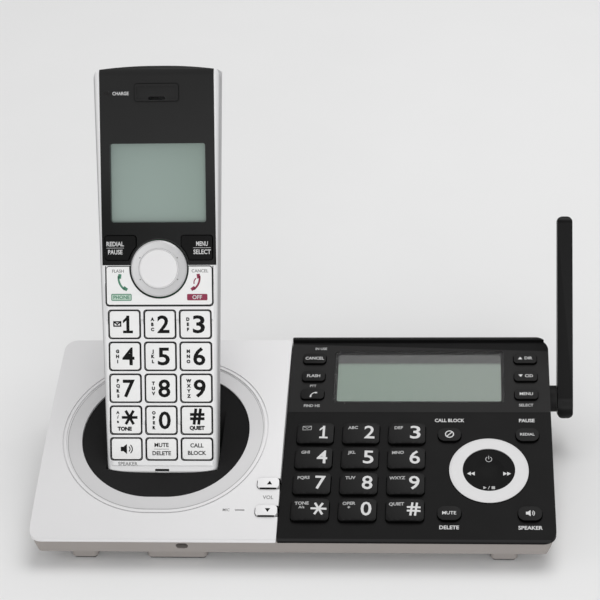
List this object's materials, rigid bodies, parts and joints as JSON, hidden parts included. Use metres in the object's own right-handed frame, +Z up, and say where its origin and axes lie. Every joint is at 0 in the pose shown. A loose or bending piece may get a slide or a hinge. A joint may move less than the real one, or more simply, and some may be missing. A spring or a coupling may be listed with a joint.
{
  "type": "cordless telephone",
  "caption": "Desk cordless telephone: sloped two-tone base with keypad, display, hinged antenna and a round charging cradle that holds a lift-off keypad handset.",
  "frame": {"origin": "middle of the overall box on the desk, under the handset's cradle side and antenna together", "axes": "+X to the right seen from the front along the base's width, +Y to the back, +Z up"},
  "size_m": [0.2257, 0.137, 0.1665],
  "materials": {
    "tray_grey": "fine moulded grain",
    "rubber_grey": "matt",
    "silver": "silver paint, satin",
    "panel_black": "satin",
    "lens": "clear plastic",
    "display_grey": "grey-green display film",
    "cradle_black": "satin",
    "board_green": "solder mask",
    "antenna_black": "satin",
    "control_silver": "silver paint",
    "key_black": "satin",
    "fascia_black": "polished",
    "back_grey": "silver paint, satin",
    "cell_wrap": "shrink wrap",
    "key_white": "satin"
  },
  "bodies": {
    "base": {"base_tray": "tray_grey", "base_feet": "rubber_grey", "silver_housing": "silver", "control_panel": "panel_black", "display_lens": "lens", "base_display": "display_grey", "cradle": "cradle_black", "base_electronics": "board_green"},
    "antenna": {"antenna": "antenna_black"},
    "round_control": {"round_control": "control_silver"},
    "handset": {"handset_front": "silver", "handset_fascia": "fascia_black", "handset_back": "back_grey", "handset_display": "display_grey", "handset_board": "board_green", "battery_pack": "cell_wrap"},
    "battery_door": {"battery_door": "back_grey"},
    "handset_call_plate": {"handset_call_plate": "key_white"},
    "handset_nav_pad": {"handset_nav_pad": "control_silver"},
    "dial_key_star": {"dial_key_star": "key_black"},
    "dial_key_0": {"dial_key_0": "key_black"},
    "dial_key_hash": {"dial_key_hash": "key_black"},
    "dial_key_7": {"dial_key_7": "key_black"},
    "dial_key_8": {"dial_key_8": "key_black"},
    "dial_key_9": {"dial_key_9": "key_black"},
    "dial_key_4": {"dial_key_4": "key_black"},
    "dial_key_5": {"dial_key_5": "key_black"},
    "dial_key_6": {"dial_key_6": "key_black"},
    "dial_key_1": {"dial_key_1": "key_black"},
    "dial_key_2": {"dial_key_2": "key_black"},
    "dial_key_3": {"dial_key_3": "key_black"},
    "find_key": {"find_key": "key_black"},
    "flash_key": {"flash_key": "key_black"},
    "cancel_key": {"cancel_key": "key_black"},
    "menu_key": {"menu_key": "key_black"},
    "down_key": {"down_key": "key_black"},
    "up_key": {"up_key": "key_black"},
    "mute_key": {"mute_key": "key_black"},
    "speaker_key": {"speaker_key": "key_black"},
    "call_block_key": {"call_block_key": "key_black"},
    "redial_key": {"redial_key": "key_black"},
    "volume_up_key": {"volume_up_key": "silver"},
    "volume_down_key": {"volume_down_key": "silver"},
    "handset_soft_key_left": {"handset_soft_key_left": "key_black"},
    "handset_soft_key_right": {"handset_soft_key_right": "key_black"},
    "handset_key_star": {"handset_key_star": "key_white"},
    "handset_key_0": {"handset_key_0": "key_white"},
    "handset_key_hash": {"handset_key_hash": "key_white"},
    "handset_key_7": {"handset_key_7": "key_white"},
    "handset_key_8": {"handset_key_8": "key_white"},
    "handset_key_9": {"handset_key_9": "key_white"},
    "handset_key_4": {"handset_key_4": "key_white"},
    "handset_key_5": {"handset_key_5": "key_white"},
    "handset_key_6": {"handset_key_6": "key_white"},
    "handset_key_1": {"handset_key_1": "key_white"},
    "handset_key_2": {"handset_key_2": "key_white"},
    "handset_key_3": {"handset_key_3": "key_white"},
    "handset_speaker_key": {"handset_speaker_key": "key_white"},
    "handset_mute_key": {"handset_mute_key": "key_white"},
    "handset_block_key": {"handset_block_key": "key_white"}
  },
  "joints": [
    {"name": "antenna_hinge", "type": "hinge", "parent": "base", "child": "antenna", "pos_m": [0.10625, 0.01451, 0.0223], "axis": [1, 0, 0], "range_deg": [-58, 32]},
    {"name": "round_control_tilt", "type": "hinge", "parent": "base", "child": "round_control", "pos_m": [0.07575, -0.03342, 0.01911], "axis": [1, 0, 0], "range_deg": [-1.6, 1.6], "stiffness_Nm_per_rad": 0.5},
    {"name": "handset_lift", "type": "slide", "parent": "base", "child": "handset", "axis": [0, 0.4924, 0.8704], "range_m": [0, 0.12]},
    {"name": "battery_door_slide", "type": "slide", "parent": "handset", "child": "battery_door", "axis": [0, 0.0087, -1], "range_m": [0, 0.014]},
    {"name": "handset_call_plate_rock", "type": "hinge", "parent": "handset", "child": "handset_call_plate", "pos_m": [-0.06165, 0.00769, 0.08668], "axis": [0, 0.4924, 0.8704], "range_deg": [-1.4, 1.4], "stiffness_Nm_per_rad": 0.3},
    {"name": "handset_nav_pad_tilt", "type": "hinge", "parent": "handset", "child": "handset_nav_pad", "pos_m": [-0.06165, 0.01122, 0.09291], "axis": [1, 0, 0], "range_deg": [-2.4, 2.4], "stiffness_Nm_per_rad": 0.2},
    {"name": "dial_key_star_press", "type": "slide", "parent": "base", "child": "dial_key_star", "axis": [0, 0.2419, -0.9703], "range_m": [0, 0.0009], "stiffness_N_per_m": 350},
    {"name": "dial_key_0_press", "type": "slide", "parent": "base", "child": "dial_key_0", "axis": [0, 0.2419, -0.9703], "range_m": [0, 0.0009], "stiffness_N_per_m": 350},
    {"name": "dial_key_hash_press", "type": "slide", "parent": "base", "child": "dial_key_hash", "axis": [0, 0.2419, -0.9703], "range_m": [0, 0.0009], "stiffness_N_per_m": 350},
    {"name": "dial_key_7_press", "type": "slide", "parent": "base", "child": "dial_key_7", "axis": [0, 0.2419, -0.9703], "range_m": [0, 0.0009], "stiffness_N_per_m": 350},
    {"name": "dial_key_8_press", "type": "slide", "parent": "base", "child": "dial_key_8", "axis": [0, 0.2419, -0.9703], "range_m": [0, 0.0009], "stiffness_N_per_m": 350},
    {"name": "dial_key_9_press", "type": "slide", "parent": "base", "child": "dial_key_9", "axis": [0, 0.2419, -0.9703], "range_m": [0, 0.0009], "stiffness_N_per_m": 350},
    {"name": "dial_key_4_press", "type": "slide", "parent": "base", "child": "dial_key_4", "axis": [0, 0.2419, -0.9703], "range_m": [0, 0.0009], "stiffness_N_per_m": 350},
    {"name": "dial_key_5_press", "type": "slide", "parent": "base", "child": "dial_key_5", "axis": [0, 0.2419, -0.9703], "range_m": [0, 0.0009], "stiffness_N_per_m": 350},
    {"name": "dial_key_6_press", "type": "slide", "parent": "base", "child": "dial_key_6", "axis": [0, 0.2419, -0.9703], "range_m": [0, 0.0009], "stiffness_N_per_m": 350},
    {"name": "dial_key_1_press", "type": "slide", "parent": "base", "child": "dial_key_1", "axis": [0, 0.2419, -0.9703], "range_m": [0, 0.0009], "stiffness_N_per_m": 350},
    {"name": "dial_key_2_press", "type": "slide", "parent": "base", "child": "dial_key_2", "axis": [0, 0.2419, -0.9703], "range_m": [0, 0.0009], "stiffness_N_per_m": 350},
    {"name": "dial_key_3_press", "type": "slide", "parent": "base", "child": "dial_key_3", "axis": [0, 0.2419, -0.9703], "range_m": [0, 0.0009], "stiffness_N_per_m": 350},
    {"name": "find_key_press", "type": "slide", "parent": "base", "child": "find_key", "axis": [0, 0.309, -0.9511], "range_m": [0, 0.0009], "stiffness_N_per_m": 350},
    {"name": "flash_key_press", "type": "slide", "parent": "base", "child": "flash_key", "axis": [0, 0.309, -0.9511], "range_m": [0, 0.0009], "stiffness_N_per_m": 350},
    {"name": "cancel_key_press", "type": "slide", "parent": "base", "child": "cancel_key", "axis": [0, 0.309, -0.9511], "range_m": [0, 0.0009], "stiffness_N_per_m": 350},
    {"name": "menu_key_press", "type": "slide", "parent": "base", "child": "menu_key", "axis": [0, 0.309, -0.9511], "range_m": [0, 0.0009], "stiffness_N_per_m": 350},
    {"name": "down_key_press", "type": "slide", "parent": "base", "child": "down_key", "axis": [0, 0.309, -0.9511], "range_m": [0, 0.0009], "stiffness_N_per_m": 350},
    {"name": "up_key_press", "type": "slide", "parent": "base", "child": "up_key", "axis": [0, 0.309, -0.9511], "range_m": [0, 0.0009], "stiffness_N_per_m": 350},
    {"name": "mute_key_press", "type": "slide", "parent": "base", "child": "mute_key", "axis": [0, 0.2419, -0.9703], "range_m": [0, 0.0009], "stiffness_N_per_m": 350},
    {"name": "speaker_key_press", "type": "slide", "parent": "base", "child": "speaker_key", "axis": [0, 0.2419, -0.9703], "range_m": [0, 0.0009], "stiffness_N_per_m": 350},
    {"name": "call_block_key_press", "type": "slide", "parent": "base", "child": "call_block_key", "axis": [0, 0.2419, -0.9703], "range_m": [0, 0.0009], "stiffness_N_per_m": 350},
    {"name": "redial_key_press", "type": "slide", "parent": "base", "child": "redial_key", "axis": [0, 0.2419, -0.9703], "range_m": [0, 0.0009], "stiffness_N_per_m": 350},
    {"name": "volume_up_key_press", "type": "slide", "parent": "base", "child": "volume_up_key", "axis": [0, 0.3049, -0.9524], "range_m": [0, 0.0008], "stiffness_N_per_m": 350},
    {"name": "volume_down_key_press", "type": "slide", "parent": "base", "child": "volume_down_key", "axis": [0, 0.3242, -0.946], "range_m": [0, 0.0008], "stiffness_N_per_m": 350},
    {"name": "handset_soft_key_left_press", "type": "slide", "parent": "handset", "child": "handset_soft_key_left", "axis": [0, 0.8704, -0.4924], "range_m": [0, 0.0005], "stiffness_N_per_m": 350},
    {"name": "handset_soft_key_right_press", "type": "slide", "parent": "handset", "child": "handset_soft_key_right", "axis": [0, 0.8704, -0.4924], "range_m": [0, 0.0005], "stiffness_N_per_m": 350},
    {"name": "handset_key_star_press", "type": "slide", "parent": "handset", "child": "handset_key_star", "axis": [0, 0.8704, -0.4924], "range_m": [0, 0.0005], "stiffness_N_per_m": 350},
    {"name": "handset_key_0_press", "type": "slide", "parent": "handset", "child": "handset_key_0", "axis": [0, 0.8704, -0.4924], "range_m": [0, 0.0005], "stiffness_N_per_m": 350},
    {"name": "handset_key_hash_press", "type": "slide", "parent": "handset", "child": "handset_key_hash", "axis": [0, 0.8704, -0.4924], "range_m": [0, 0.0005], "stiffness_N_per_m": 350},
    {"name": "handset_key_7_press", "type": "slide", "parent": "handset", "child": "handset_key_7", "axis": [0, 0.8704, -0.4924], "range_m": [0, 0.0005], "stiffness_N_per_m": 350},
    {"name": "handset_key_8_press", "type": "slide", "parent": "handset", "child": "handset_key_8", "axis": [0, 0.8704, -0.4924], "range_m": [0, 0.0005], "stiffness_N_per_m": 350},
    {"name": "handset_key_9_press", "type": "slide", "parent": "handset", "child": "handset_key_9", "axis": [0, 0.8704, -0.4924], "range_m": [0, 0.0005], "stiffness_N_per_m": 350},
    {"name": "handset_key_4_press", "type": "slide", "parent": "handset", "child": "handset_key_4", "axis": [0, 0.8704, -0.4924], "range_m": [0, 0.0005], "stiffness_N_per_m": 350},
    {"name": "handset_key_5_press", "type": "slide", "parent": "handset", "child": "handset_key_5", "axis": [0, 0.8704, -0.4924], "range_m": [0, 0.0005], "stiffness_N_per_m": 350},
    {"name": "handset_key_6_press", "type": "slide", "parent": "handset", "child": "handset_key_6", "axis": [0, 0.8704, -0.4924], "range_m": [0, 0.0005], "stiffness_N_per_m": 350},
    {"name": "handset_key_1_press", "type": "slide", "parent": "handset", "child": "handset_key_1", "axis": [0, 0.8704, -0.4924], "range_m": [0, 0.0005], "stiffness_N_per_m": 350},
    {"name": "handset_key_2_press", "type": "slide", "parent": "handset", "child": "handset_key_2", "axis": [0, 0.8704, -0.4924], "range_m": [0, 0.0005], "stiffness_N_per_m": 350},
    {"name": "handset_key_3_press", "type": "slide", "parent": "handset", "child": "handset_key_3", "axis": [0, 0.8704, -0.4924], "range_m": [0, 0.0005], "stiffness_N_per_m": 350},
    {"name": "handset_speaker_key_press", "type": "slide", "parent": "handset", "child": "handset_speaker_key", "axis": [0, 0.8704, -0.4924], "range_m": [0, 0.0005], "stiffness_N_per_m": 350},
    {"name": "handset_mute_key_press", "type": "slide", "parent": "handset", "child": "handset_mute_key", "axis": [0, 0.8704, -0.4924], "range_m": [0, 0.0005], "stiffness_N_per_m": 350},
    {"name": "handset_block_key_press", "type": "slide", "parent": "handset", "child": "handset_block_key", "axis": [0, 0.8704, -0.4924], "range_m": [0, 0.0005], "stiffness_N_per_m": 350}
  ]
}
